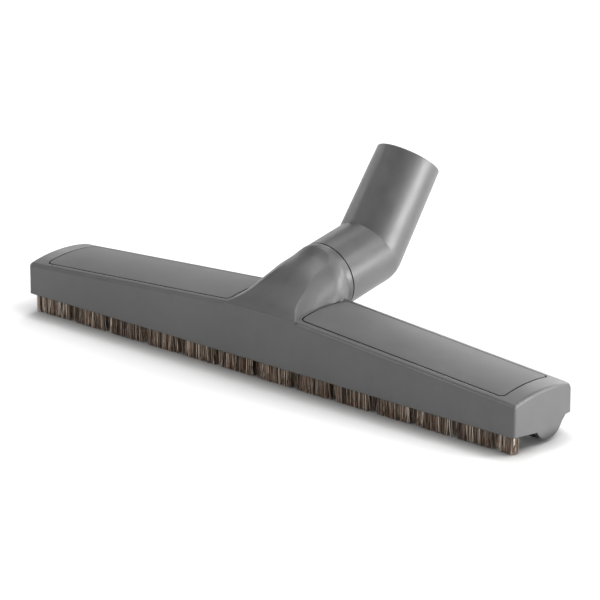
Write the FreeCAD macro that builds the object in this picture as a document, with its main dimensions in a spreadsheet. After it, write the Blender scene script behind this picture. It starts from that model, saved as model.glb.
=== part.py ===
import FreeCAD, Part
import os
import re
from collections import namedtuple
from FreeCAD import Placement, Rotation, Vector
import Sketcher

# Floor brush head for a vacuum cleaner: a wide moulded housing with a hood that grows into a round
# neck, a bent swivel elbow that takes the wand, two brush strips and two small end rollers.
# Millimetres. X runs across the head, -Y is the front, Z is up, and the bristle tips stand on Z = 0.
# The outlines below count Y from the middle of the housing; every piece is then moved back by
# HEAD_BACK, so that the origin lies on the floor under the middle of the whole head.

SIZES = {
    # housing
    "head_width": 366.4,
    "front_depth": 26.3,
    "rear_depth": 27.4,
    "lower_edge": 12.0,
    "roof_mid": 45.4,
    "roof_end": 33.5,
    "roof_flat": 25.0,
    "crown_radius": 116.0,
    "crown_forward": 2.6,
    "roof_wall": 3.0,
    "side_wall": 2.4,
    "edge_round": 2.4,
    "rear_round": 5.5,
    "end_round": 1.8,
    # rounded guards that hang from the two end walls beside the rollers
    "guard_front": 5.0,
    "guard_rear": 18.4,
    "guard_edge": 9.0,
    "guard_drop": 6.9,
    # inset panels of the roof
    "panel_inner": 27.4,
    "panel_inset": 12.0,
    "panel_front": 21.8,
    "panel_rear": 20.0,
    "panel_thickness": 1.2,
    "panel_groove": 0.9,
    "panel_corner": 3.0,
    # hood and neck
    "hood_half": 26.6,
    "hood_sink": 1.5,
    "seam_back": 33.6,
    "seam_height": 48.2,
    "neck_radius": 21.1,
    "neck_tilt": 8.0,
    "neck_straight": 6.0,
    "neck_wall": 3.0,
    "sleeve_length": 11.0,
    "sleeve_wall": 0.9,
    # swivel elbow
    "seam_gap": 0.8,
    "lower_leg": 39.8,
    "upper_leg": 61.4,
    "bend_angle": 43.1,
    "rim_radius": 20.0,
    "rim_round": 0.8,
    "socket_radius": 17.75,
    "socket_depth": 46.0,
    "wand_stop": 1.2,
    "elbow_wall": 2.6,
    "spigot_wall": 2.1,
    # rings on the spigot
    "ring_place": 4.4,
    "ring_width": 1.8,
    "ring_bite": 0.9,
    "ring_split": 6.0,
    "seal_place": 8.6,
    "seal_width": 2.4,
    "seal_depth": 1.4,
    # sole plate
    "sole_thickness": 2.4,
    "sole_land": 12.4,
    "channel_width": 6.9,
    "channel_height": 3.6,
    "slot_inset": 32.0,
    "slot_front": 5.0,
    "slot_rear": 8.0,
    # brush strips
    "backing_height": 3.5,
    "bristle_depth": 5.2,
    "front_strip_inset": 3.0,
    "rear_strip_inset": 16.0,
    "first_gap": 26.4,
    "gap_pitch": 28.96,
    "gap_width": 5.6,
    # screws of the sole plate
    "screw_radius": 1.5,
    "screw_head_radius": 3.0,
    "screw_head_height": 1.6,
    "screw_length": 12.0,
    "screw_near": 60.0,
    "screw_inset": 26.0,
    "screw_front": 10.8,
    "screw_rear": 11.8,
    "boss_radius": 3.4,
    # end rollers
    "roller_inset": 9.1,
    "roller_back": 6.7,
    "roller_height": 9.2,
    "roller_radius": 8.2,
    "roller_width": 8.0,
    "tread_thickness": 1.3,
    "axle_radius": 1.5,
    "carrier_wall": 1.4,
    "carrier_depth": 13.0,
    "carrier_lug": 4.0,
    # clearances
    "fit": 0.05,
    "slack": 0.1,
    "play": 0.3,
}

# The hood's two ridges draw in and climb on their way from the front face to the neck. A station is a
# share of the way to the seam; width is a share of hood_half, climb one of the rise to the neck's side.
Station = namedtuple("Station", "way width climb")
HOOD_STATIONS = (
    Station(0.0, 1.0, 0.0),
    Station(0.1, 0.8, 0.16),
    Station(0.25, 0.65, 0.36),
    Station(0.4, 0.575, 0.57),
    Station(0.55, 0.49, 0.78),
    Station(0.7, 0.48, 0.9),
)
DUCT_STATIONS = (Station(0.22, 0.68, 0.24), Station(0.34, 0.625, 0.42), Station(0.47, 0.54, 0.66))
FRONT_CROWN = 0.4
HALF_SQUARE = 0.70710678

Corner = namedtuple("Corner", "x y bulge hollow", defaults=("", False))

doc = FreeCAD.newDocument("floor_brush_head")
sheet = doc.addObject("Spreadsheet::Sheet", "Sheet")
for row, (alias, value) in enumerate(SIZES.items(), start=1):
    sheet.set(f"A{row}", alias)
    sheet.set(f"B{row}", str(value))
    sheet.setAlias(f"B{row}", alias)
doc.recompute()


def bound(formula):
    """The formula with each of the sheet's names written as a reference to its cell."""
    return re.sub(r"[a-z_]+", lambda word: f"Sheet.{word[0]}" if word[0] in SIZES else word[0], formula)


def amount(formula):
    """The formula's value with the sheet as it stands."""
    return float(sheet.evalExpression(bound(formula)))


def roof_top(across):
    """Height of the roof's ridge at a distance across from the middle."""
    return f"(roof_mid - (roof_mid - roof_end) * ({across} - roof_flat) / (head_width / 2 - roof_flat))"


def roof_skin(across, back):
    """Height of the roof's outer surface at a point of the plan."""
    return f"({roof_top(across)} - crown_radius + sqrt(crown_radius ^ 2 - ({back} + crown_forward) ^ 2))"


def sagitta(across, front, rear):
    """How far the roof's crown stands above the straight line between two of its points."""
    run = f"(({rear}) - ({front}))"
    fall = f"({roof_skin(across, rear)} - {roof_skin(across, front)})"
    return f"(crown_radius - sqrt(crown_radius ^ 2 - ({run} ^ 2 + {fall} ^ 2) / 4))"


def rounding(across, side, radius):
    """The round corner between the roof and the front (-1) or rear (1) wall, tangent to both."""
    depth = "rear_depth" if side > 0 else "front_depth"
    wall = f"({side} * {depth})"
    centre_back = f"({side} * ({depth} - {radius}))"
    crown_height = f"({roof_top(across)} - crown_radius)"
    reach = f"sqrt((crown_radius - {radius}) ^ 2 - ({centre_back} + crown_forward) ^ 2)"
    on_wall = (wall, f"({crown_height} + {reach})")
    stretch = f"(crown_radius / (crown_radius - {radius}))"
    on_roof = (
        f"(({centre_back} + crown_forward) * {stretch} - crown_forward)",
        f"({crown_height} + {reach} * {stretch})",
    )
    chord = f"(({on_wall[0]} - {on_roof[0]}) ^ 2 + ({on_wall[1]} - {on_roof[1]}) ^ 2)"
    bulge = f"({radius} - sqrt({radius} ^ 2 - {chord} / 4))"
    return on_wall, on_roof, bulge


HALF_WIDTH = "(head_width / 2)"
PANEL_OUTER = f"({HALF_WIDTH} - panel_inset)"
SLOT_HALF = f"({HALF_WIDTH} - slot_inset)"
SCREW_FAR = f"({HALF_WIDTH} - screw_inset)"
ROLLER_ACROSS = f"({HALF_WIDTH} - roller_inset)"
UPPER_TILT = "(neck_tilt + bend_angle)"
BEND_BACK = "(seam_back + lower_leg * cos(neck_tilt))"
BEND_HEIGHT = "(seam_height + lower_leg * sin(neck_tilt))"
RIM_BACK = f"((upper_leg - rim_round) * cos{UPPER_TILT} + (rim_radius - rim_round) * sin{UPPER_TILT})"
REAR_REACH = f"({BEND_BACK} + {RIM_BACK} + rim_round)"
HEAD_BACK = f"((front_depth - {REAR_REACH}) / 2)"

INNER_FRONT = "(front_depth - side_wall)"
INNER_REAR = "(rear_depth - side_wall)"
LAND_FRONT = f"({INNER_FRONT} - channel_width)"
LAND_REAR = f"({INNER_REAR} - channel_width)"
LAND_TOP = "(sole_land + sole_thickness)"
CHANNEL_TOP = "(sole_land + channel_height)"
BACKING_LOW = f"({CHANNEL_TOP} - slack - backing_height)"
SPIGOT_RADIUS = "(neck_radius - neck_wall - play)"
BORE_RADIUS = "(neck_radius - neck_wall)"
SPIGOT_LENGTH = "(sleeve_length - play)"


def new_body(name):
    """An empty body, named after its piece, that stands where the head stands."""
    body = doc.addObject("PartDesign::Body", name)
    body.Label = name
    body.AllowCompound = True
    body.setExpression("Placement.Base.y", bound(HEAD_BACK))
    return body


def place_sketch(sketch, place):
    """Moves and turns a sketch from its origin plane: x, y, lift in mm, spin and lean in degrees."""
    axis = Vector(1, 0, 0) if "lean" in place else Vector(0, 0, 1)
    sketch.AttachmentOffset = Placement(Vector(), Rotation(axis, 1))
    for key, route in (("x", "Base.x"), ("y", "Base.y"), ("lift", "Base.z")):
        sketch.setExpression(f"AttachmentOffset.{route}", bound(place.get(key, "0")))
    angle = place.get("lean", place.get("spin", "0"))
    sketch.setExpression("AttachmentOffset.Rotation.Angle", bound(angle))


def arc_between(start, end, bulge):
    """A circle and its two end angles, anticlockwise from start to end and rising by bulge."""
    chord = end - start
    reach = chord.Length / 2
    radius = (reach ** 2 + bulge ** 2) / (2 * bulge)
    left = Vector(-chord.y, chord.x, 0).normalize()
    centre = (start + end) / 2 + left * (radius - bulge)
    angles = []
    for spot in (start, end):
        spoke = spot - centre
        angle = Vector(1, 0, 0).getAngle(spoke)
        angles.append(angle if spoke.y >= 0 else -angle)
    return Part.ArcOfCircle(Part.Circle(centre, Vector(0, 0, 1), radius), angles[0], angles[1])


def draw_outline(sketch, corners):
    """Adds a closed outline whose corners, and arcs where a bulge is given, follow the sheet."""
    spots = [Vector(amount(corner.x), amount(corner.y), 0) for corner in corners]
    first = sketch.GeometryCount
    count = len(corners)
    ends = []
    for index, corner in enumerate(corners):
        start, end = spots[index], spots[(index + 1) % count]
        ends.append((2, 1) if corner.hollow else (1, 2))
        if not corner.bulge:
            sketch.addGeometry(Part.LineSegment(start, end))
        elif corner.hollow:
            sketch.addGeometry(arc_between(end, start, amount(corner.bulge)))
        else:
            sketch.addGeometry(arc_between(start, end, amount(corner.bulge)))
    for index, corner in enumerate(corners):
        next_index = (index + 1) % count
        side = first + index
        start, end = ends[index]
        joint = Sketcher.Constraint("Coincident", side, end, first + next_index, ends[next_index][0])
        sketch.addConstraint(joint)
        for kind, formula in (("DistanceX", corner.x), ("DistanceY", corner.y)):
            number = sketch.addConstraint(Sketcher.Constraint(kind, -1, 1, side, start, amount(formula)))
            sketch.setExpression(f"Constraints[{number}]", bound(formula))
        if corner.bulge:
            following = corners[next_index]
            chord = f"((({corner.x}) - ({following.x})) ^ 2 + (({corner.y}) - ({following.y})) ^ 2)"
            radius = f"({chord} / 4 + ({corner.bulge}) ^ 2) / (2 * ({corner.bulge}))"
            number = sketch.addConstraint(Sketcher.Constraint("Radius", side, amount(radius)))
            sketch.setExpression(f"Constraints[{number}]", bound(radius))


def outline(body, name, plane, corners, **place):
    """A sketch on one of the body's origin planes with one closed outline."""
    sketch = body.newObject("Sketcher::SketchObject", name)
    support = next(feature for feature in body.Origin.OriginFeatures if feature.Role == plane)
    sketch.AttachmentSupport = (support, [""])
    sketch.MapMode = "FlatFace"
    place_sketch(sketch, place)
    draw_outline(sketch, corners)
    return sketch


def box_corners(left, low, right, high):
    """The four corners of a rectangle, anticlockwise."""
    return [Corner(left, low), Corner(right, low), Corner(right, high), Corner(left, high)]


def pad(body, name, sketch, length):
    feature = body.newObject("PartDesign::Pad", name)
    feature.Profile = sketch
    feature.setExpression("Length", bound(length))
    return feature


def pocket(body, name, sketch, length):
    """Cuts the outline along its plane's normal, for the given length."""
    feature = body.newObject("PartDesign::Pocket", name)
    feature.Profile = sketch
    feature.Reversed = True
    feature.setExpression("Length", bound(length))
    return feature


def turn(body, name, kind, sketch, axis):
    """A Revolution or Groove all the way round one of the sketch's axes."""
    feature = body.newObject(f"PartDesign::{kind}", name)
    feature.Profile = sketch
    feature.ReferenceAxis = (sketch, [axis])
    feature.Angle = 360
    return feature


def loft(body, name, kind, sections, ruled):
    """An AdditiveLoft or SubtractiveLoft through the sections."""
    feature = body.newObject(f"PartDesign::{kind}", name)
    feature.Profile = sections[0]
    feature.Sections = sections[1:]
    feature.Ruled = ruled
    return feature


def fillet(body, name, radius, belongs):
    """Rounds each edge of the body so far for which belongs(edge) is true."""
    doc.recompute()
    base = body.Tip
    edges = [f"Edge{number}" for number, edge in enumerate(base.Shape.Edges, start=1) if belongs(edge)]
    feature = body.newObject("PartDesign::Fillet", name)
    feature.Base = (base, edges)
    feature.setExpression("Radius", bound(radius))
    return feature


def bar_stations(across):
    """Where the housing's long bar is cut across: its two ends and both sides of the hood."""
    return ((across, across), ("roof_flat", "roof_flat"), ("-roof_flat", "roof_flat"), (f"-{across}", across))


def bar_sections(body):
    """Four outer cross-sections of the bar, with its two long edges rounded."""
    sections = []
    for index, (lift, distance) in enumerate(bar_stations(HALF_WIDTH)):
        rear_wall, rear_roof, rear_bulge = rounding(distance, 1, "rear_round")
        front_wall, front_roof, front_bulge = rounding(distance, -1, "edge_round")
        run = f"(({rear_roof[0]} - {front_roof[0]}) ^ 2 + ({rear_roof[1]} - {front_roof[1]}) ^ 2)"
        corners = [
            Corner("(-front_depth)", "lower_edge"),
            Corner("rear_depth", "lower_edge"),
            Corner(*rear_wall, rear_bulge),
            Corner(*rear_roof, f"(crown_radius - sqrt(crown_radius ^ 2 - {run} / 4))"),
            Corner(*front_roof, front_bulge),
            Corner(*front_wall),
        ]
        sections.append(outline(body, f"bar_section_{index}", "YZ_Plane", corners, lift=lift))
    return sections


def inside_sections(body):
    """Four cross-sections of the hollow under the roof."""
    front, rear = f"(-{INNER_FRONT})", INNER_REAR
    sections = []
    for index, (lift, distance) in enumerate(bar_stations(f"({HALF_WIDTH} - side_wall)")):
        corners = [
            Corner(front, "0"),
            Corner(rear, "0"),
            Corner(rear, f"({roof_skin(distance, rear)} - roof_wall)", sagitta(distance, front, rear)),
            Corner(front, f"({roof_skin(distance, front)} - roof_wall)"),
        ]
        sections.append(outline(body, f"inside_section_{index}", "YZ_Plane", corners, lift=lift))
    return sections


def hood_section(body, name, station, wall):
    """One upright section of the hood: two leaning sides on the roof and a crowned top."""
    back = f"({station.way} * (seam_back + front_depth) - front_depth)"
    base = roof_skin("roof_flat", "(-front_depth)")
    summit = f"(seam_height + neck_radius * {HALF_SQUARE} * cos(neck_tilt))"
    half = f"(hood_half * {station.width} - {wall})"
    ridge = f"({base} + ({summit} - {base}) * {station.climb} - {wall})"
    foot_half = f"(hood_half - {wall})"
    foot = f"({roof_skin('roof_flat', back)} - {wall} - hood_sink)"
    swell = f"(neck_radius * (1 - {HALF_SQUARE}) - {FRONT_CROWN})"
    crown = f"({FRONT_CROWN} + {swell} * {station.way ** 3:.4f})"
    side = f"({FRONT_CROWN} + {swell} * {station.way ** 2:.4f})"
    corners = [
        Corner(f"(-{foot_half})", foot),
        Corner(foot_half, foot, side),
        Corner(half, ridge, crown),
        Corner(f"(-{half})", ridge, side),
    ]
    return outline(body, name, "XZ_Plane", corners, lift=f"(-{back})")


def neck_circle(body, name, radius, inward):
    """A circle of the neck in four arcs, set inward along the swivel axis from the seam."""
    reach = f"({radius} * {HALF_SQUARE})"
    swell = f"({radius} - {reach})"
    corners = [
        Corner(f"(-{reach})", f"(-{reach})", swell),
        Corner(reach, f"(-{reach})", swell),
        Corner(reach, reach, swell),
        Corner(f"(-{reach})", reach, swell),
    ]
    back = f"(seam_back - {inward} * cos(neck_tilt))"
    height = f"(seam_height - {inward} * sin(neck_tilt))"
    return outline(body, name, "XZ_Plane", corners, y=height, lift=f"(-{back})", lean="neck_tilt")


def swivel_outline(body, name, corners):
    """An outline beside the swivel axis: x is the radius, y the distance out of the neck's seam."""
    return outline(body, name, "YZ_Plane", corners, x="seam_back", y="seam_height", spin="(neck_tilt - 90)")


def panel_sections(body, name, side, spread, low, high):
    """Two thin cross-sections that follow the roof, one at each end of a panel."""
    front = f"(-panel_front - {spread})"
    rear = f"(panel_rear + {spread})"
    sections = []
    ends = (f"(panel_inner - {spread})", f"({PANEL_OUTER} + {spread})")
    for index, distance in enumerate(ends if side < 0 else ends[::-1]):
        rise = sagitta(distance, front, rear)
        corners = [
            Corner(front, f"({roof_skin(distance, front)} - {low})", rise, True),
            Corner(rear, f"({roof_skin(distance, rear)} - {low})"),
            Corner(rear, f"({roof_skin(distance, rear)} - {high})", rise),
            Corner(front, f"({roof_skin(distance, front)} - {high})"),
        ]
        sections.append(outline(body, f"{name}_{index}", "YZ_Plane", corners, lift=f"({side} * {distance})"))
    return sections


def is_upright(edge, height):
    """Is it a straight upright edge of about this height?"""
    run = edge.BoundBox
    return run.XLength < 0.01 and run.YLength < 0.01 and abs(run.ZLength - amount(height)) < 0.05


def build_plate(name, side, spread, low, high):
    """A plate that follows the roof, from low to high below its surface, with round corners."""
    body = new_body(name)
    loft(body, "plate", "AdditiveLoft", panel_sections(body, "plate_section", side, spread, low, high), True)

    def is_corner(edge):
        return is_upright(edge, f"({low} - {high})")

    fillet(body, "corner_rounding", f"(panel_corner + {spread})", is_corner)
    return body


def build_housing():
    """The moulded shell: bar, end guards, hood, neck sleeve, screw bosses and panel recesses.

    Each recess is the space of its panel with the groove round it. A Boolean counts the place of
    that space from the housing, so it stands at 0 there.
    """
    body = new_body("housing")
    half, low = amount(HALF_WIDTH), amount("lower_edge")
    loft(body, "bar", "AdditiveLoft", bar_sections(body), True)

    def is_end_rim(edge):
        spot = edge.CenterOfMass
        return edge.BoundBox.XLength < 0.1 and abs(spot.x) > half - 0.1 and spot.z > low + 1

    fillet(body, "end_rounding", "end_round", is_end_rim)
    guard = [
        Corner("(edge_round - front_depth)", "lower_edge"),
        Corner("(-guard_front)", "guard_edge", "guard_drop"),
        Corner("guard_rear", "guard_edge"),
        Corner("(rear_depth - rear_round)", "lower_edge"),
        Corner("(rear_depth - rear_round)", "(lower_edge + side_wall)"),
        Corner("(edge_round - front_depth)", "(lower_edge + side_wall)"),
    ]
    for name, lift in (("guard_left", f"(-{HALF_WIDTH})"), ("guard_right", f"({HALF_WIDTH} - side_wall)")):
        pad(body, name, outline(body, f"{name}_outline", "YZ_Plane", guard, lift=lift), "side_wall")
    loft(body, "inside", "SubtractiveLoft", inside_sections(body), True)

    hood = [hood_section(body, f"hood_section_{n}", place, "0") for n, place in enumerate(HOOD_STATIONS)]
    hood.append(neck_circle(body, "hood_circle", "neck_radius", "neck_straight"))
    hood.append(neck_circle(body, "seam_circle", "neck_radius", "0"))
    loft(body, "hood", "AdditiveLoft", hood, False)
    sleeve = [
        Corner("0", "(-sleeve_length)"),
        Corner(f"({BORE_RADIUS} + sleeve_wall)", "(-sleeve_length)"),
        Corner("(neck_radius - slack)", "0"),
        Corner("0", "0"),
    ]
    turn(body, "sleeve", "Revolution", swivel_outline(body, "sleeve_outline", sleeve), "V_Axis")
    duct = [
        hood_section(body, f"duct_section_{n}", place, "roof_wall") for n, place in enumerate(DUCT_STATIONS)
    ]
    duct.append(neck_circle(body, "duct_circle", f"({BORE_RADIUS} - play)", "(sleeve_length - play)"))
    loft(body, "duct", "SubtractiveLoft", duct, False)
    groove_low = "(-ring_place - ring_width / 2 - slack)"
    groove_high = "(-ring_place + ring_width / 2 + slack)"
    groove_radius = f"({BORE_RADIUS} + ring_bite + slack)"
    bore = [
        Corner("0", "(-sleeve_length)"),
        Corner(BORE_RADIUS, "(-sleeve_length)"),
        Corner(BORE_RADIUS, groove_low),
        Corner(groove_radius, groove_low),
        Corner(groove_radius, groove_high),
        Corner(BORE_RADIUS, groove_high),
        Corner(BORE_RADIUS, "slack"),
        Corner("0", "slack"),
    ]
    turn(body, "neck_bore", "Groove", swivel_outline(body, "bore_outline", bore), "V_Axis")

    for number, (across, distance, back) in enumerate(screw_spots()):
        top = f"({roof_skin(distance, back)} - roof_wall / 2)"
        post = box_corners("0", f"({LAND_TOP} + slack)", "boss_radius", top)
        post_outline = outline(body, f"boss_outline_{number}", "XZ_Plane", post, x=across, lift=f"(-{back})")
        turn(body, f"boss_{number}", "Revolution", post_outline, "V_Axis")
    for side, word in ((-1, "left"), (1, "right")):
        deep, above = "(panel_thickness + slack)", "(-roof_wall)"
        space = build_plate(f"recess_{word}_space", side, "panel_groove", deep, above)
        space.setExpression("Placement.Base.y", "0")
        recess = body.newObject("PartDesign::Boolean", f"recess_{word}")
        recess.Type = "Cut"
        recess.setObjects([space])
    return body


def screw_spots():
    """Each screw's place as formulas: across, distance from the middle, and back."""
    spots = []
    for distance in ("screw_near", SCREW_FAR):
        for side in ("-", ""):
            for back in ("(-screw_front)", "screw_rear"):
                spots.append((f"({side}{distance})", distance, back))
    return spots


def build_elbow():
    """The bent tube: a spigot that turns in the neck, a mitred bend and the wand's socket."""
    body = new_body("swivel_elbow")
    outer = [
        Corner("0", f"(-{SPIGOT_LENGTH})"),
        Corner(SPIGOT_RADIUS, f"(-{SPIGOT_LENGTH})"),
        Corner(SPIGOT_RADIUS, "seam_gap"),
        Corner("neck_radius", "seam_gap"),
        Corner("neck_radius", "lower_leg"),
        Corner("0", "lower_leg"),
    ]
    turn(body, "lower_tube", "Revolution", swivel_outline(body, "lower_outline", outer), "V_Axis")
    upper = {"x": BEND_BACK, "y": BEND_HEIGHT, "spin": f"({UPPER_TILT} - 90)"}
    low = "(-neck_radius)"
    ball = [
        Corner("0", low, f"(neck_radius * (1 - {HALF_SQUARE}))"),
        Corner("neck_radius", "0"),
        Corner("rim_radius", "upper_leg"),
        Corner("0", "upper_leg"),
    ]
    upper_outer = outline(body, "upper_outline", "YZ_Plane", ball, **upper)
    turn(body, "upper_tube", "Revolution", upper_outer, "V_Axis")
    fillet(body, "rim_rounding", "rim_round", is_rim)

    spigot_inner = f"({SPIGOT_RADIUS} - spigot_wall)"
    tube_inner = "(neck_radius - elbow_wall)"
    lower_inside = [
        Corner("0", f"(-{SPIGOT_LENGTH} - slack)"),
        Corner(spigot_inner, f"(-{SPIGOT_LENGTH} - slack)"),
        Corner(spigot_inner, "elbow_wall"),
        Corner(tube_inner, "(3 * elbow_wall)"),
        Corner(tube_inner, "lower_leg"),
        Corner("0", "lower_leg"),
    ]
    turn(body, "lower_inside", "Groove", swivel_outline(body, "lower_inside_outline", lower_inside), "V_Axis")
    stop = "(upper_leg - socket_depth)"
    stop_radius = "(socket_radius - wand_stop)"
    upper_inside = [
        Corner("0", f"(-{tube_inner})", f"({tube_inner} * (1 - {HALF_SQUARE}))"),
        Corner(tube_inner, "0"),
        Corner(stop_radius, f"({stop} - 2 * elbow_wall)"),
        Corner(stop_radius, stop),
        Corner("socket_radius", stop),
        Corner("socket_radius", "(upper_leg + slack)"),
        Corner("0", "(upper_leg + slack)"),
    ]
    inside = outline(body, "upper_inside_outline", "YZ_Plane", upper_inside, **upper)
    turn(body, "upper_inside", "Groove", inside, "V_Axis")
    grooves = (
        ("ring_seat", "ring_place", "ring_width", "ring_bite"),
        ("seal_seat", "seal_place", "seal_width", "seal_depth"),
    )
    for name, place, width, depth in grooves:
        seat = box_corners(
            f"({SPIGOT_RADIUS} - {depth})",
            f"(-{place} - {width} / 2 - slack)",
            f"({SPIGOT_RADIUS} + slack)",
            f"(-{place} + {width} / 2 + slack)",
        )
        turn(body, name, "Groove", swivel_outline(body, f"{name}_outline", seat), "V_Axis")
    return body


def is_rim(edge):
    """Is it the round edge at the mouth of the elbow's upper leg?"""
    direction = Vector(0, amount(f"cos{UPPER_TILT}"), amount(f"sin{UPPER_TILT}"))
    bend = Vector(0, amount(BEND_BACK), amount(BEND_HEIGHT))
    reach = (edge.CenterOfMass - bend).dot(direction)
    return abs(reach - amount("upper_leg")) < 0.1


def build_ring(name, place, width, inner, outer, split):
    """A ring round the spigot; the retaining ring is cut through so that it can be sprung on."""
    body = new_body(name)
    section = box_corners(inner, f"(-{place} - {width} / 2)", outer, f"(-{place} + {width} / 2)")
    turn(body, "ring", "Revolution", swivel_outline(body, "ring_outline", section), "V_Axis")
    if split:
        doc.recompute()
        top = "(seam_height + 2 * neck_radius)"
        cut = box_corners(f"(-{split} / 2)", "seam_height", f"({split} / 2)", top)
        tool = outline(body, "split_outline", "XZ_Plane", cut, lift="(-seam_back)")
        pocket(body, "split", tool, "sleeve_length")
    return body


def build_sole_plate():
    """The plate under the housing: a raised flange over each brush channel and a lower land between."""
    body = new_body("sole_plate")
    half = f"({HALF_WIDTH} - side_wall - play)"
    front, rear = f"(slack - {INNER_FRONT})", f"({INNER_REAR} - slack)"
    flange_top = f"({CHANNEL_TOP} + sole_thickness)"
    section = [
        Corner(front, CHANNEL_TOP),
        Corner(f"(-{LAND_FRONT})", CHANNEL_TOP),
        Corner(f"(-{LAND_FRONT})", "sole_land"),
        Corner(LAND_REAR, "sole_land"),
        Corner(LAND_REAR, CHANNEL_TOP),
        Corner(rear, CHANNEL_TOP),
        Corner(rear, flange_top),
        Corner(f"({LAND_REAR} - sole_thickness)", flange_top),
        Corner(f"({LAND_REAR} - sole_thickness)", LAND_TOP),
        Corner(f"(sole_thickness - {LAND_FRONT})", LAND_TOP),
        Corner(f"(sole_thickness - {LAND_FRONT})", flange_top),
        Corner(front, flange_top),
    ]
    plate = outline(body, "plate_section", "YZ_Plane", section, lift=f"(-{half})")
    pad(body, "plate", plate, f"(2 * {half})")
    slot = box_corners(f"(-{SLOT_HALF})", "(-slot_front)", SLOT_HALF, "slot_rear")
    pocket(body, "suction_slot", outline(body, "slot_outline", "XY_Plane", slot, lift="0"), "(2 * sole_land)")
    reach = "(roller_radius + play)"
    inboard = f"({ROLLER_ACROSS} - roller_width / 2 - play - carrier_wall - play)"
    for side in ("-", ""):
        edges = (f"({side}{inboard})", f"({side}{HALF_WIDTH})")
        left, right = edges if side == "" else edges[::-1]
        word = "left" if side else "right"
        notch = box_corners(left, f"(roller_back - {reach})", right, f"(roller_back + {reach})")
        tool = outline(body, f"notch_{word}_outline", "XY_Plane", notch, lift="0")
        pocket(body, f"notch_{word}", tool, "(2 * sole_land)")
    for number, (across, distance, back) in enumerate(screw_spots()):
        bore = box_corners("0", "0", "(screw_radius + slack)", "(2 * sole_land)")
        tool = outline(body, f"hole_outline_{number}", "XZ_Plane", bore, x=across, lift=f"(-{back})")
        turn(body, f"hole_{number}", "Groove", tool, "V_Axis")
    return body


def build_backing(word, half, edge, side):
    """The strip of moulded plastic that holds a row of bristles, slid into its channel."""
    body = new_body(f"{word}_brush_backing")
    width = "(channel_width - 2 * play)"
    near = f"({edge} - play)" if side > 0 else f"(play - {edge})"
    far = f"({near} - {width})" if side > 0 else f"({near} + {width})"
    low, high = (far, near) if side > 0 else (near, far)
    section = box_corners(low, BACKING_LOW, high, f"({BACKING_LOW} + backing_height)")
    strip = outline(body, "strip_section", "YZ_Plane", section, lift=f"(-{half})")
    pad(body, "strip", strip, f"(2 * {half})")
    return body


def build_bristles(word, half, edge, side, gapped):
    """The bristles of one strip as one row of solids that stands on the floor."""
    body = new_body(f"{word}_bristles")
    centre = f"({edge} - channel_width / 2)" if side > 0 else f"(channel_width / 2 - {edge})"
    low, high = f"({centre} - bristle_depth / 2)", f"({centre} + bristle_depth / 2)"
    section = box_corners(low, "0", high, BACKING_LOW)
    row = outline(body, "row_section", "YZ_Plane", section, lift=f"(-{half})")
    pad(body, "row", row, f"(2 * {half})")
    if gapped:
        doc.recompute()
        gap_left = f"(first_gap - {half})"
        gap = box_corners(gap_left, "(-front_depth)", f"({gap_left} + gap_width)", "0")
        cut = pocket(body, "gap", outline(body, "gap_outline", "XY_Plane", gap, lift="0"), "(2 * sole_land)")
        row_of_gaps = body.newObject("PartDesign::LinearPattern", "gaps")
        row_of_gaps.Originals = [cut]
        axis = next(feature for feature in body.Origin.OriginFeatures if feature.Role == "X_Axis")
        row_of_gaps.Direction = (axis, [""])
        row_of_gaps.Occurrences = int(amount(f"(2 * {half} - first_gap) / gap_pitch")) + 1
        row_of_gaps.setExpression("Length", bound(f"gap_pitch * {row_of_gaps.Occurrences - 1}"))
        body.Tip = row_of_gaps
    return body


def roller_outline(body, name, side, corners):
    """An outline beside a roller's axle: x runs out along the axle, y is the radius."""
    across = f"({side} * {ROLLER_ACROSS})"
    return outline(body, name, "XZ_Plane", corners, x=across, y="roller_height", lift="(-roller_back)")


def build_roller(word, side):
    """The hard wheel, which spins on its axle."""
    body = new_body(f"roller_{word}")
    inner, outer = "(axle_radius + fit)", "(roller_radius - tread_thickness)"
    section = box_corners("(-roller_width / 2)", inner, "(roller_width / 2)", outer)
    turn(body, "wheel", "Revolution", roller_outline(body, "wheel_section", side, section), "H_Axis")
    return body


def build_tread(word, side):
    """The soft tyre pressed round a wheel."""
    body = new_body(f"roller_tread_{word}")
    inner, outer = "(roller_radius - tread_thickness)", "roller_radius"
    section = box_corners("(-roller_width / 2)", inner, "(roller_width / 2)", outer)
    turn(body, "tread", "Revolution", roller_outline(body, "tread_section", side, section), "H_Axis")
    return body


def build_axle(word, side):
    """A steel pin through the carrier's two cheeks."""
    body = new_body(f"roller_axle_{word}")
    reach = "(roller_width / 2 + play + carrier_wall)"
    section = box_corners(f"(-{reach})", "0", reach, "axle_radius")
    turn(body, "pin", "Revolution", roller_outline(body, "pin_section", side, section), "H_Axis")
    return body


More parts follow.
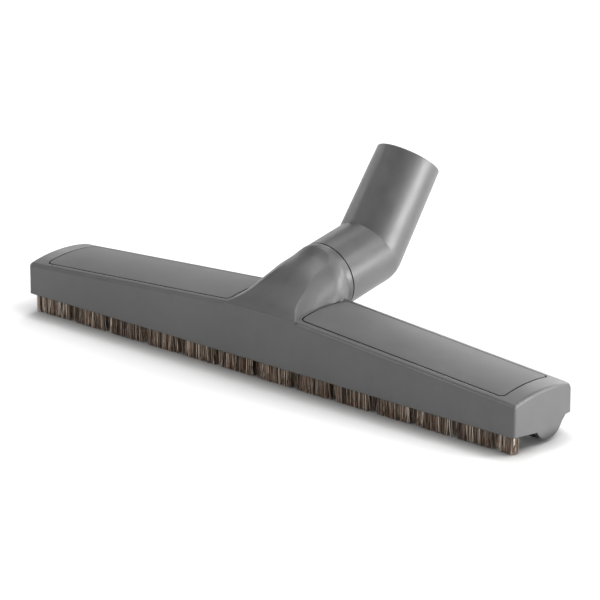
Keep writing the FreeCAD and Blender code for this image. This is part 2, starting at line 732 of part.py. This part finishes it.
def build_carrier(word, side):
    """The moulded fork that holds a roller: two cheeks, a web over the wheel and a lug on the sole."""
    body = new_body(f"roller_carrier_{word}")
    inner = "(roller_width / 2 + play)"
    outer = f"({inner} + carrier_wall)"
    foot = "(-roller_radius / 2)"
    web = "(roller_radius + play)"
    lug = f"({LAND_TOP} - roller_height)"
    points = [
        (f"(-{outer})", foot),
        (f"(-{inner})", foot),
        (f"(-{inner})", web),
        (inner, web),
        (inner, foot),
        (outer, foot),
        (outer, f"({web} + carrier_wall)"),
        (f"(-{outer})", f"({web} + carrier_wall)"),
        (f"(-{outer})", f"({lug} + carrier_wall)"),
        (f"(-{outer} - carrier_lug)", f"({lug} + carrier_wall)"),
        (f"(-{outer} - carrier_lug)", lug),
        (f"(-{outer})", lug),
    ]
    if side < 0:
        points = [(f"(-{across})", height) for across, height in reversed(points)]
    corners = [Corner(across, height) for across, height in points]
    across = f"({side} * {ROLLER_ACROSS})"
    place = {"x": across, "y": "roller_height", "lift": "(-roller_back - carrier_depth / 2)"}
    fork = outline(body, "fork_section", "XZ_Plane", corners, **place)
    pad(body, "fork", fork, "carrier_depth")
    bore = box_corners(f"(-{outer} - slack)", "0", f"({outer} + slack)", "(axle_radius + fit / 2)")
    turn(body, "axle_bore", "Groove", roller_outline(body, "bore_section", side, bore), "H_Axis")
    return body


def build_screws():
    """Eight like pan-head screws, all in one node, driven up through the sole into the bosses."""
    radius, length = amount("screw_radius"), amount("screw_length")
    head_radius, head_height = amount("screw_head_radius"), amount("screw_head_height")
    low = amount("sole_land") - head_height
    shank = Part.makeCylinder(radius, length + head_height, Vector(0, 0, low))
    head = Part.makeCylinder(head_radius, head_height, Vector(0, 0, low))
    screw = head.fuse(shank).removeSplitter()
    copies = []
    for across, distance, back in screw_spots():
        copy = screw.copy()
        copy.translate(Vector(amount(across), amount(back), 0))
        copies.append(copy)
    feature = doc.addObject("Part::Feature", "sole_screws")
    feature.Label = "sole_screws"
    feature.Shape = Part.makeCompound(copies)
    feature.Placement = Placement(Vector(0, amount(HEAD_BACK), 0), Rotation())
    return feature


def bore_bosses(housing):
    """Pilot holes up the housing's bosses for the screws' shanks."""
    for number, (across, distance, back) in enumerate(screw_spots()):
        depth = "(sole_land + screw_length + play)"
        bore = box_corners("0", "sole_land", "(screw_radius + fit)", depth)
        tool = outline(housing, f"pilot_outline_{number}", "XZ_Plane", bore, x=across, lift=f"(-{back})")
        turn(housing, f"pilot_{number}", "Groove", tool, "V_Axis")


def build_all():
    housing = build_housing()
    bore_bosses(housing)
    pieces = [housing, build_sole_plate(), build_screws(), build_elbow()]
    for word, side in (("left", -1), ("right", 1)):
        pieces.append(build_plate(f"top_panel_{word}", side, "0", "panel_thickness", "0"))
        for build in (build_carrier, build_axle, build_roller, build_tread):
            pieces.append(build(word, side))
    ring_inner = f"({SPIGOT_RADIUS} - ring_bite + slack)"
    ring_outer = f"({BORE_RADIUS} + ring_bite - play)"
    pieces.append(
        build_ring("swivel_retaining_ring", "ring_place", "ring_width", ring_inner, ring_outer, "ring_split")
    )
    seal_inner = f"({SPIGOT_RADIUS} - seal_depth)"
    seal_outer = f"({BORE_RADIUS} - fit)"
    pieces.append(build_ring("swivel_seal_ring", "seal_place", "seal_width", seal_inner, seal_outer, ""))
    strips = (
        ("front", "front_strip_inset", INNER_FRONT, -1, True),
        ("rear", "rear_strip_inset", INNER_REAR, 1, False),
    )
    for word, inset, edge, side, gapped in strips:
        half = f"({HALF_WIDTH} - {inset})"
        pieces.append(build_backing(word, half, edge, side))
        pieces.append(build_bristles(word, half, edge, side, gapped))
    return pieces


pieces = build_all()
doc.recompute()
for item in doc.Objects:
    if "Invalid" in item.State or "Error" in item.State:
        raise RuntimeError(f"{item.Name} ({item.Label}) failed: {item.State}")
for piece in pieces:
    if piece.Shape.isNull() or not piece.Shape.isValid():
        raise RuntimeError(f"{piece.Label} has no valid shape")

os.makedirs("parts", exist_ok=True)
for piece in pieces:
    piece.Shape.exportStep(f"parts/{piece.Label}.step")
    bounds = piece.Shape.BoundBox
    print(
        f"{piece.Label}: {len(piece.Shape.Solids)} solids, {piece.Shape.Volume / 1000:.2f} cm3, "
        f"x {bounds.XMin:.2f}..{bounds.XMax:.2f}, y {bounds.YMin:.2f}..{bounds.YMax:.2f}, "
        f"z {bounds.ZMin:.2f}..{bounds.ZMax:.2f}"
    )
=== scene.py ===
import math

import bmesh
import bpy
import numpy as np
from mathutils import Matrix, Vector


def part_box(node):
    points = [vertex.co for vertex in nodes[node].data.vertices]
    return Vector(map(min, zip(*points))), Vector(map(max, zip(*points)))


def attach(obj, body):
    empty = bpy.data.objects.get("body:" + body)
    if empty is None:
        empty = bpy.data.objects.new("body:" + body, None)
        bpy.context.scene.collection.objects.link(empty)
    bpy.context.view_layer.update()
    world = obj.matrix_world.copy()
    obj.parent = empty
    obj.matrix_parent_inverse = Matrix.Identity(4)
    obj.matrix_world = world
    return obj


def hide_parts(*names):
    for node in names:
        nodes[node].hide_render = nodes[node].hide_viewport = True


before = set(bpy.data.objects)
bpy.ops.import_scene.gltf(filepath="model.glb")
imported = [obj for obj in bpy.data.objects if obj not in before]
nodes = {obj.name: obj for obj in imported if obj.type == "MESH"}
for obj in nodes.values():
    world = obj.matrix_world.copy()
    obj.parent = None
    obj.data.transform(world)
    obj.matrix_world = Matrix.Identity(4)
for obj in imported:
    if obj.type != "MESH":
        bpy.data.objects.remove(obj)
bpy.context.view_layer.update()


# Housing, with its hood and neck. One injection moulding in grey ABS, from a mould whose faces are
# spark-eroded to a fine even grain, so the plastic is satin and hides small marks. The hood and
# the neck's sleeve come out of the same mould as the bar.
MM = 0.001
CLOUD_SIZE = 45 * MM
FLOW_SIZE = 9 * MM
SHADE_REACH = 9 * MM


def linear(code):
    """An sRGB hex colour as linear RGBA."""
    values = [int(code[place:place + 2], 16) / 255 for place in (1, 3, 5)]
    return tuple(v / 12.92 if v <= 0.04045 else ((v + 0.055) / 1.055) ** 2.4 for v in values) + (1.0,)


def node(tree, kind, inputs=None, **settings):
    """Adds a node with its settings; each input is a value or an output of another node to link."""
    made = tree.nodes.new(kind)
    for name, value in settings.items():
        setattr(made, name, value)
    for name, value in (inputs or {}).items():
        if isinstance(value, bpy.types.NodeSocket):
            tree.links.new(value, made.inputs[name])
        else:
            made.inputs[name].default_value = value
    return made


def blank_material(name):
    """An empty node material and its output node."""
    material = bpy.data.materials.new(name)
    material.use_nodes = True
    material.node_tree.nodes.clear()
    return material, node(material.node_tree, "ShaderNodeOutputMaterial")


def finish_of(material, *names):
    """Gives CAD nodes their material."""
    for name in names:
        nodes[name].data.materials.clear()
        nodes[name].data.materials.append(material)


def moulded_plastic(name, dark, light, grain_mm, grain_depth, rough, edge_mm, shade_open=0.6):
    """Moulded plastic or rubber: a faintly cloudy colour and flow marks, a fine mould grain, edges
    rounded as a tool leaves them, and painted shade that darkens inner corners, drawn from ambient
    occlusion. A corner less open than the given opening gets the darkest painted shade."""
    material, output = blank_material(name)
    tree = material.node_tree
    place = node(tree, "ShaderNodeTexCoord").outputs["Object"]
    cloud = node(tree, "ShaderNodeTexNoise", {"Vector": place, "Scale": 1 / CLOUD_SIZE, "Detail": 3.0})
    flow = node(
        tree, "ShaderNodeTexNoise",
        {"Vector": place, "Scale": 1 / FLOW_SIZE, "Detail": 4.0, "Roughness": 0.6},
    )
    grain = node(
        tree, "ShaderNodeTexNoise", {"Vector": place, "Scale": 1 / (grain_mm * MM), "Detail": 2.0}
    )
    blend = node(
        tree, "ShaderNodeMath", {0: cloud.outputs["Fac"], 1: flow.outputs["Fac"]}, operation="ADD"
    )
    tone = node(
        tree, "ShaderNodeMapRange",
        {"Value": blend.outputs[0], "From Min": 0.75, "From Max": 1.25, "To Min": 0.0, "To Max": 1.0},
    )
    colour = node(
        tree, "ShaderNodeMix",
        {"Factor": tone.outputs[0], "A": linear(dark), "B": linear(light)}, data_type="RGBA",
    )
    # Painted shade: ambient occlusion darkens the colour in inner corners and grooves.
    corner_occlusion = node(tree, "ShaderNodeAmbientOcclusion", {"Distance": SHADE_REACH}, samples=8)
    painted_shade = node(
        tree, "ShaderNodeMapRange",
        {
            "Value": corner_occlusion.outputs["AO"],
            "From Min": shade_open, "From Max": 0.95, "To Min": 0.25, "To Max": 1.0,
        },
    )
    shaded = node(
        tree, "ShaderNodeVectorMath",
        {0: colour.outputs["Result"], "Scale": painted_shade.outputs[0]}, operation="SCALE",
    )
    shine = node(
        tree, "ShaderNodeMapRange",
        {
            "Value": flow.outputs["Fac"],
            "From Min": 0.3, "From Max": 0.7, "To Min": rough - 0.04, "To Max": rough + 0.05,
        },
    )
    edge = node(tree, "ShaderNodeBevel", {"Radius": edge_mm * MM}, samples=6)
    bump = node(
        tree, "ShaderNodeBump",
        {
            "Height": grain.outputs["Fac"], "Distance": grain_depth * MM, "Strength": 1.0,
            "Normal": edge.outputs[0],
        },
    )
    shader = node(
        tree, "ShaderNodeBsdfPrincipled",
        {
            "Base Color": shaded.outputs[0], "Roughness": shine.outputs[0], "IOR": 1.53,
            "Normal": bump.outputs[0],
        },
    )
    tree.links.new(shader.outputs[0], output.inputs[0])
    return material


# Satin mid grey with soft wide highlights, and painted shade darkening the hood's foot and the grooves.
# The grain is 0.3 mm on the real mould; 0.8 mm is the finest that shows at this size.
abs_housing = moulded_plastic(
    "moulded_abs_grey", "#4a4a4a", "#515151",
    grain_mm=0.8, grain_depth=0.02, rough=0.42, edge_mm=0.8, shade_open=0.76,
)
finish_of(abs_housing, "housing")


# Top panels. Two thin ABS mouldings glued flush into recesses of the roof, in the housing's grey.
# They come from a mould of their own with a deeper grain, and painted shade darkens the groove round
# them.
# The deeper grain (0.3 mm on the real mould, drawn 0.9 mm to show) makes them duller than the
# housing, so the roof stays even where the lamps glance off it.
abs_panel = moulded_plastic(
    "moulded_abs_panel", "#4d4d4d", "#585858",
    grain_mm=0.9, grain_depth=0.06, rough=0.6, edge_mm=0.9,
)
finish_of(abs_panel, "top_panel_left", "top_panel_right")


# Swivel elbow. A bent tube moulded in the same grey ABS over a drawn core, with a plain spigot
# that turns in the neck and a socket for the wand.
# Its mould is polished along the tube, so the light runs along it in a clear band.
abs_elbow = moulded_plastic(
    "moulded_abs_elbow", "#4a4a4a", "#515151",
    grain_mm=0.8, grain_depth=0.03, rough=0.4, edge_mm=0.5,
)
finish_of(abs_elbow, "swivel_elbow")


# Swivel rings. A split acetal ring snapped into its groove keeps the elbow in the neck, and a
# moulded rubber ring behind it seals the turning joint. Both are out of sight inside the neck.
# Acetal gives a waxy off-white, and nitrile rubber a dull near black.
acetal = moulded_plastic(
    "acetal_natural", "#d2d2cc", "#dededa",
    grain_mm=0.6, grain_depth=0.004, rough=0.32, edge_mm=0.1,
)
finish_of(acetal, "swivel_retaining_ring")
seal_rubber = moulded_plastic(
    "nitrile_rubber", "#202021", "#29292a",
    grain_mm=0.6, grain_depth=0.01, rough=0.55, edge_mm=0.2,
)
finish_of(seal_rubber, "swivel_seal_ring")


# Sole plate and roller carriers. Polypropylene mouldings: the plate with its suction slot and a
# channel for each brush strip, and at each end a fork, held on the plate by a lug, for a roller.
# The plastic gives a dark, slightly waxy grey, uneven in gloss where it has passed over grit.
polypropylene = moulded_plastic(
    "moulded_polypropylene", "#2d2d2e", "#393939",
    grain_mm=0.9, grain_depth=0.03, rough=0.46, edge_mm=0.4,
)
finish_of(polypropylene, "sole_plate", "roller_carrier_left", "roller_carrier_right")


# Brush strips. Each is an extruded plastic backing slid into its channel, with horsehair set in
# it: soft, slightly wavy hair in mixed browns, in tufts at the front and one full row behind,
# trimmed level but never quite even at the tips.
# The backing gives a dull near black that shows only between the tufts.
backing_plastic = moulded_plastic(
    "extruded_backing", "#232324", "#2c2c2d",
    grain_mm=1.2, grain_depth=0.02, rough=0.5, edge_mm=0.2,
)
finish_of(backing_plastic, "front_brush_backing", "rear_brush_backing")

FIRST_GAP = 26.4 * MM
GAP_PITCH = 28.96 * MM
GAP_WIDTH = 5.6 * MM
# Real hair is about 0.15 mm thick. It is drawn 0.44 mm thick, the thinnest that shows here.
HAIR_RADIUS = 0.22 * MM
HAIR_STEP = 0.46 * MM
HAIR_ROWS = 9
GAP_ROWS = 3
# How far the tips lean along the strip and across it, and the most that a hair falls short.
LEAN_ALONG = 0.7
LEAN_ACROSS = 0.15
SHORTEST = 3.2
FULL_LENGTH_SHARE = 0.2


def horsehair():
    """Brown hair: tone differs from hair to hair; painted shade darkens each hair towards its root, and
    the tips are a little paler.
    """
    material, output = blank_material("horsehair_mixed")
    tree = material.node_tree
    hair = node(tree, "ShaderNodeAttribute", attribute_name="hair")
    parts = node(tree, "ShaderNodeSeparateColor", {"Color": hair.outputs["Color"]})
    tone = node(tree, "ShaderNodeValToRGB", {"Fac": parts.outputs[0]})
    ramp = tone.color_ramp
    ramp.elements[0].color, ramp.elements[1].color = linear("#2a211b"), linear("#f3ece1")
    for place, code in ((0.28, "#564538"), (0.5, "#8c7564"), (0.7, "#b6a18e"), (0.86, "#dacbb9")):
        ramp.elements.new(place).color = linear(code)
    # Painted shade: each hair darkens towards its root and pales a little towards its tip.
    painted_root_shade = node(
        tree, "ShaderNodeMapRange",
        {"Value": parts.outputs[1], "From Min": 0.0, "From Max": 1.0, "To Min": 0.78, "To Max": 1.15},
    )
    colour = node(
        tree, "ShaderNodeVectorMath",
        {0: tone.outputs[0], "Scale": painted_root_shade.outputs[0]}, operation="SCALE",
    )
    place = node(tree, "ShaderNodeTexCoord").outputs["Object"]
    cuticle = node(tree, "ShaderNodeTexNoise", {"Vector": place, "Scale": 1 / (0.8 * MM), "Detail": 2.0})
    bump = node(
        tree, "ShaderNodeBump",
        {"Height": cuticle.outputs["Fac"], "Distance": 0.02 * MM, "Strength": 0.6},
    )
    shader = node(
        tree, "ShaderNodeBsdfPrincipled",
        {
            "Base Color": colour.outputs[0], "Roughness": 0.42, "IOR": 1.55,
            "Normal": bump.outputs[0],
        },
    )
    tree.links.new(shader.outputs[0], output.inputs[0])
    return material


def hair_roots(rng, start, end, front, back, rows, step):
    """Where the hairs of one tuft stand, and how far each is from the tuft's middle, -1 to 1."""
    count = max(2, round((end - start) / step))
    across = np.linspace(start + HAIR_RADIUS, end - HAIR_RADIUS, count)
    deep = np.linspace(front + 1.5 * HAIR_RADIUS, back - 1.5 * HAIR_RADIUS, rows)
    x, y = [part.ravel() for part in np.meshgrid(across, deep)]
    x = x + rng.uniform(-0.45, 0.45, x.size) * step
    x = np.clip(x, start + HAIR_RADIUS, end - HAIR_RADIUS)
    y = y + rng.uniform(-0.25, 0.25, x.size) * MM
    return np.stack([x, y, (x - (start + end) / 2) / ((end - start) / 2)], 1)


def hair_strip(name, cad_node, roots, rng):
    """One strip of hair as a single mesh of thin bent spikes; hair at a tuft's ends leans outward."""
    low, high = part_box(cad_node)
    x, y, share = roots.T
    count = x.size
    y = np.clip(y, low.y + HAIR_RADIUS, high.y - HAIR_RADIUS)
    lean = rng.normal(0, LEAN_ALONG, count) + LEAN_ALONG * np.sign(share) * np.abs(share) ** 8
    out = rng.normal(0, LEAN_ACROSS, count)
    bundle = 0.5 + 0.5 * np.sin(x / MM * 2.3 + 1.0) * np.sin(x / MM * 0.61)
    trim = np.clip(rng.gamma(1.4, 0.45, count) * (0.45 + 1.1 * bundle), 0, SHORTEST) * MM
    trim[rng.random(count) < FULL_LENGTH_SHARE] = 0.0
    steps = np.array([0.0, 0.5, 1.0])
    taper = (1.0, 0.95, 0.5)
    corners = rng.uniform(0, 2 * math.pi, count)[:, None] + np.arange(3) * 2 * math.pi / 3
    points = np.zeros((count, 3, 3, 3))
    for ring, step in enumerate(steps):
        radius = HAIR_RADIUS * taper[ring]
        centre_x = x + lean * MM * step ** 1.6
        centre_y = np.clip(y + out * MM * step, low.y + HAIR_RADIUS, high.y - HAIR_RADIUS)
        points[:, ring, :, 0] = centre_x[:, None] + radius * np.cos(corners)
        points[:, ring, :, 1] = centre_y[:, None] + radius * np.sin(corners)
        points[:, ring, :, 2] = (high.z - (high.z - low.z - trim) * step)[:, None]
    points[..., 0] = np.clip(points[..., 0], low.x, high.x)
    points[..., 1] = np.clip(points[..., 1], low.y, high.y)
    first = np.arange(count)[:, None] * 9
    sides = []
    for side in range(3):
        after = (side + 1) % 3
        wall = np.array([side, after, 3 + after, 3 + side])
        sides += [first + wall, first + 3 + wall]
    quads = np.concatenate(sides).tolist()
    tips = (first + np.array([6, 7, 8])).tolist()
    mesh = bpy.data.meshes.new(name)
    mesh.from_pydata(points.reshape(-1, 3).tolist(), [], quads + tips)
    strand = rng.beta(1.5, 1.9, count)
    patch = np.sin(x / MM * 0.83 + 2.0) * np.sin(x / MM * 0.29 + 1.0)
    shade = np.zeros((count, 3, 3, 4))
    shade[..., 0] = np.clip(strand + 0.12 * patch, 0, 1)[:, None, None]
    shade[..., 1] = steps[None, :, None]
    shade[..., 3] = 1.0
    colours = mesh.color_attributes.new("hair", "FLOAT_COLOR", "POINT")
    colours.data.foreach_set("color", shade.ravel())
    mesh.materials.append(hair_finish)
    mesh.update()
    strip = bpy.data.objects.new(name, mesh)
    bpy.context.scene.collection.objects.link(strip)
    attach(strip, "head")
    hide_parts(cad_node)


# Mixed browns from near black to straw, with a soft gloss that picks out single hairs.
hair_finish = horsehair()
front_rng = np.random.default_rng(5)
low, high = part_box("front_bristles")
front_roots = []
start, gap = low.x, low.x + FIRST_GAP
while start < high.x:
    end = min(gap, high.x)
    front_roots.append(hair_roots(front_rng, start, end, low.y, high.y, HAIR_ROWS, HAIR_STEP))
    # Between two tufts a thin row of hair stands at the back of the strip.
    if gap + GAP_WIDTH < high.x:
        middle = (low.y + high.y) / 2
        front_roots.append(
            hair_roots(front_rng, gap, gap + GAP_WIDTH, middle, high.y, GAP_ROWS, 1.3 * HAIR_STEP)
        )
    start, gap = gap + GAP_WIDTH, gap + GAP_PITCH
hair_strip("front_hair", "front_bristles", np.concatenate(front_roots), front_rng)
rear_rng = np.random.default_rng(11)
low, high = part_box("rear_bristles")
rear_roots = hair_roots(rear_rng, low.x, high.x, low.y, high.y, HAIR_ROWS, HAIR_STEP)
hair_strip("rear_hair", "rear_bristles", rear_roots, rear_rng)


# Sole screws. Eight zinc-plated steel pan-head screws with a cross recess, cold-headed and rolled,
# and turned into the housing's bosses. Only their heads show, on the underside.
SCREW_SPOTS = [
    (side * across, back) for across in (60.0, 157.2) for side in (-1, 1) for back in (-10.8, 11.8)
]
HEAD_RADIUS = 3.0 * MM
HEAD_HEIGHT = 1.6 * MM
SHANK_RADIUS = 1.5 * MM
RECESS_REACH = 1.7 * MM
RECESS_HALF = 0.35 * MM
RECESS_DEPTH = 0.9 * MM
ROUND_SIDES = 28


def bright_metal(name, code, rough, streak_mm, streak_depth):
    """Plated or drawn steel: an even grey metal with fine marks from its making."""
    material, output = blank_material(name)
    tree = material.node_tree
    place = node(tree, "ShaderNodeTexCoord").outputs["Object"]
    marks = node(
        tree, "ShaderNodeTexNoise", {"Vector": place, "Scale": 1 / (streak_mm * MM), "Detail": 3.0}
    )
    shine = node(
        tree, "ShaderNodeMapRange",
        {
            "Value": marks.outputs["Fac"],
            "From Min": 0.3, "From Max": 0.7, "To Min": rough - 0.06, "To Max": rough + 0.1,
        },
    )
    bump = node(
        tree, "ShaderNodeBump", {"Height": marks.outputs["Fac"], "Distance": streak_depth * MM}
    )
    shader = node(
        tree, "ShaderNodeBsdfPrincipled",
        {
            "Base Color": linear(code), "Metallic": 1.0, "Roughness": shine.outputs[0],
            "Normal": bump.outputs[0],
        },
    )
    tree.links.new(shader.outputs[0], output.inputs[0])
    return material


def turned(shape, profile, sides, centre):
    """Adds a closed turned shape to a bmesh: profile is (radius, height) from axis to axis."""
    angles = [2 * math.pi * step / sides for step in range(sides)]
    rings = []
    for radius, height in profile:
        if radius == 0:
            rings.append([shape.verts.new(centre + Vector((0, 0, height)))])
            continue
        rings.append([
            shape.verts.new(centre + Vector((radius * math.cos(a), radius * math.sin(a), height)))
            for a in angles
        ])
    for lower, upper in zip(rings, rings[1:]):
        for step in range(sides):
            after = (step + 1) % sides
            corners = [lower[step % len(lower)], lower[after % len(lower)]]
            corners += [upper[after % len(upper)], upper[step % len(upper)]]
            shape.faces.new(list(dict.fromkeys(corners)))


screw_low, screw_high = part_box("sole_screws")
screw_length = screw_high.z - screw_low.z
head_back = (screw_low.y + screw_high.y) / 2 - 0.5 * MM
rim = 0.45 * HEAD_HEIGHT + 0.2 * MM
dome = [(0.0, 0.0), (1.9 * MM, 0.06 * MM), (2.6 * MM, 0.25 * MM), (HEAD_RADIUS, rim)]
shank = [(HEAD_RADIUS, HEAD_HEIGHT), (SHANK_RADIUS, HEAD_HEIGHT)]
shank += [(SHANK_RADIUS, screw_length), (0.0, screw_length)]
screws = bmesh.new()
for across, back in SCREW_SPOTS:
    centre = Vector((across * MM, head_back + back * MM, screw_low.z))
    turned(screws, dome + shank, ROUND_SIDES, centre)
bmesh.ops.recalc_face_normals(screws, faces=screws.faces)
screw_mesh = bpy.data.meshes.new("screw_set")
screws.to_mesh(screw_mesh)
screws.free()
screw_set = bpy.data.objects.new("screw_set", screw_mesh)
bpy.context.scene.collection.objects.link(screw_set)

# The cross recess is two crossed slots, cut out of every head at once.
crosses = bmesh.new()
for across, back in SCREW_SPOTS:
    for reach_x, reach_y in ((RECESS_REACH, RECESS_HALF), (RECESS_HALF, RECESS_REACH)):
        made = bmesh.ops.create_cube(crosses, size=2.0)["verts"]
        bmesh.ops.scale(crosses, vec=(reach_x, reach_y, RECESS_DEPTH), verts=made)
        bmesh.ops.translate(
            crosses, vec=(across * MM, head_back + back * MM, screw_low.z), verts=made
        )
cross_mesh = bpy.data.meshes.new("recess_tool")
crosses.to_mesh(cross_mesh)
crosses.free()
cutter = bpy.data.objects.new("recess_tool", cross_mesh)
bpy.context.scene.collection.objects.link(cutter)
cut = screw_set.modifiers.new("recess", "BOOLEAN")
cut.operation, cut.object, cut.solver, cut.use_self = "DIFFERENCE", cutter, "EXACT", True
bpy.context.view_layer.update()
cut_screws = screw_set.evaluated_get(bpy.context.evaluated_depsgraph_get())
screw_set.data = bpy.data.meshes.new_from_object(cut_screws)
screw_set.modifiers.clear()
bpy.data.objects.remove(cutter)

# Zinc gives a bright, slightly warm grey with soft reflections.
zinc = bright_metal("zinc_plated_steel", "#b4b4ae", rough=0.34, streak_mm=0.5, streak_depth=0.01)
screw_set.data.materials.clear()
screw_set.data.materials.append(zinc)
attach(screw_set, "head")
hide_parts("sole_screws")


# End rollers. A hard moulded wheel with a soft tread pressed round it turns on a drawn steel pin;
# they keep the ends of the head off the floor's edges and skirting.
# The wheel gives a dark half gloss, the tread a dull grey, and the pin a bright thin line.
wheel_plastic = moulded_plastic(
    "moulded_wheel", "#2a2a2b", "#343435",
    grain_mm=0.7, grain_depth=0.01, rough=0.4, edge_mm=0.3,
)
finish_of(wheel_plastic, "roller_left", "roller_right")
tread_rubber = moulded_plastic(
    "soft_tread_rubber", "#434344", "#4d4d4e",
    grain_mm=0.6, grain_depth=0.02, rough=0.62, edge_mm=0.4,
)
finish_of(tread_rubber, "roller_tread_left", "roller_tread_right")
drawn_steel = bright_metal("drawn_steel_pin", "#b9b9b6", rough=0.28, streak_mm=0.4, streak_depth=0.006)
finish_of(drawn_steel, "roller_axle_left", "roller_axle_right")


# Floor. A plain matt white surface. Close to the object it carries a painted contact shadow,
# and far away it glows, so that it stays white past the lamps' reach.
FLOOR_REACH = 12.0
SHADOW_REACH = 16 * MM
GLOW_FROM, GLOW_TO = 1.0, 1.6
floor_mesh = bpy.data.meshes.new("floor")
floor_corners = [(x * FLOOR_REACH, y * FLOOR_REACH, 0) for x, y in ((-1, -1), (1, -1), (1, 1), (-1, 1))]
floor_mesh.from_pydata(floor_corners, [], [(0, 1, 2, 3)])
floor = bpy.data.objects.new("floor", floor_mesh)
bpy.context.scene.collection.objects.link(floor)
floor_finish, floor_output = blank_material("matt_white_floor")
floor_tree = floor_finish.node_tree
# Painted contact shadow: ambient occlusion darkens the floor's colour near the object.
painted_contact_shadow = node(
    floor_tree, "ShaderNodeAmbientOcclusion",
    {"Color": linear("#fafafa"), "Distance": SHADOW_REACH}, samples=12,
)
floor_place = node(floor_tree, "ShaderNodeTexCoord").outputs["Object"]
floor_far = node(floor_tree, "ShaderNodeVectorMath", {0: floor_place}, operation="LENGTH")
floor_glow = node(
    floor_tree, "ShaderNodeMapRange",
    {
        "Value": floor_far.outputs["Value"],
        "From Min": GLOW_FROM, "From Max": GLOW_TO, "To Min": 0.02, "To Max": 0.9,
    },
)
floor_shader = node(
    floor_tree, "ShaderNodeBsdfPrincipled",
    {
        "Base Color": painted_contact_shadow.outputs["Color"], "Roughness": 0.9, "Specular IOR Level": 0.0,
        "Emission Color": linear("#ffffff"), "Emission Strength": floor_glow.outputs[0],
    },
)
floor_tree.links.new(floor_shader.outputs[0], floor_output.inputs[0])
floor_mesh.materials.append(floor_finish)


# Light. Plain white soft boxes stand in a ring two metres from the head. Those at the right light
# the end wall and run a bright band along the tube; those behind light the roof at a glance.
SOFT_BOXES = (
    # name, azimuth from the front and elevation in degrees, width and height in metres, watts
    ("right_front", 85, 20, 0.5, 0.4, 5.5),
    ("right_low", 100, 4, 0.5, 0.35, 30.0),
    ("right_rear", 122, 4, 0.6, 0.35, 22.0),
    ("right_high", 125, 38, 0.5, 0.4, 12.0),
    ("right_top", 110, 65, 0.8, 0.6, 11.5),
    ("rear_right", 165, 12, 0.8, 0.4, 14.0),
    ("rear_middle", 190, 12, 0.8, 0.4, 17.0),
    ("rear_left", 205, 22, 0.6, 0.4, 4.5),
    ("rear_top", 220, 65, 1.0, 0.8, 14.0),
    ("rear_far_left", 228, 14, 0.6, 0.35, 2.5),
    ("left_low", 250, 12, 0.9, 0.5, 3.0),
    ("left_middle", 280, 20, 0.6, 0.4, 5.5),
    ("left_high", 300, 46, 0.4, 0.4, 2.0),
    ("front_fill", 340, 30, 0.8, 0.5, 17.0),
)
BOX_DISTANCE = 2.0
BOX_TARGET = Vector((0.0085, -0.0503, 0.045))
WORLD_STRENGTH = 0.02


def direction(azimuth, elevation):
    """The unit vector towards an azimuth from the front and an elevation, both in radians."""
    flat = math.cos(elevation)
    return Vector((math.sin(azimuth) * flat, -math.cos(azimuth) * flat, math.sin(elevation)))


for name, azimuth, elevation, box_width, box_height, watts in SOFT_BOXES:
    lamp = bpy.data.lights.new(name, "AREA")
    lamp.shape, lamp.size, lamp.size_y, lamp.energy = "RECTANGLE", box_width, box_height, watts
    box = bpy.data.objects.new(name, lamp)
    toward = direction(math.radians(azimuth), math.radians(elevation))
    box.location = BOX_TARGET + toward * BOX_DISTANCE
    box.rotation_euler = (-toward).to_track_quat("-Z", "Y").to_euler()
    bpy.context.scene.collection.objects.link(box)
world = bpy.data.worlds.new("studio")
world.use_nodes = True
world.node_tree.nodes["Background"].inputs[0].default_value = linear("#ffffff")
world.node_tree.nodes["Background"].inputs[1].default_value = WORLD_STRENGTH
scene = bpy.context.scene
scene.world = world
scene.view_settings.view_transform = "Standard"


# Camera. A long lens from the front right and a little above, as the photograph was taken.
AZIMUTH, ELEVATION = math.radians(39.65), math.radians(20.22)
FOCAL_PIXELS = 3799
IMAGE_PIXELS = 600
CAMERA_DISTANCE = 2.2
CAMERA_TARGET = Vector((0.00845, -0.050255, 0.04498))
away = direction(AZIMUTH, ELEVATION)
camera_data = bpy.data.cameras.new("camera")
camera_data.sensor_width = 36.0
camera_data.lens = camera_data.sensor_width * FOCAL_PIXELS / IMAGE_PIXELS
camera_data.clip_end = 50.0
camera = bpy.data.objects.new("camera", camera_data)
camera.location = CAMERA_TARGET + away * CAMERA_DISTANCE
camera.rotation_euler = (-away).to_track_quat("-Z", "Y").to_euler()
scene.collection.objects.link(camera)
scene.camera = camera
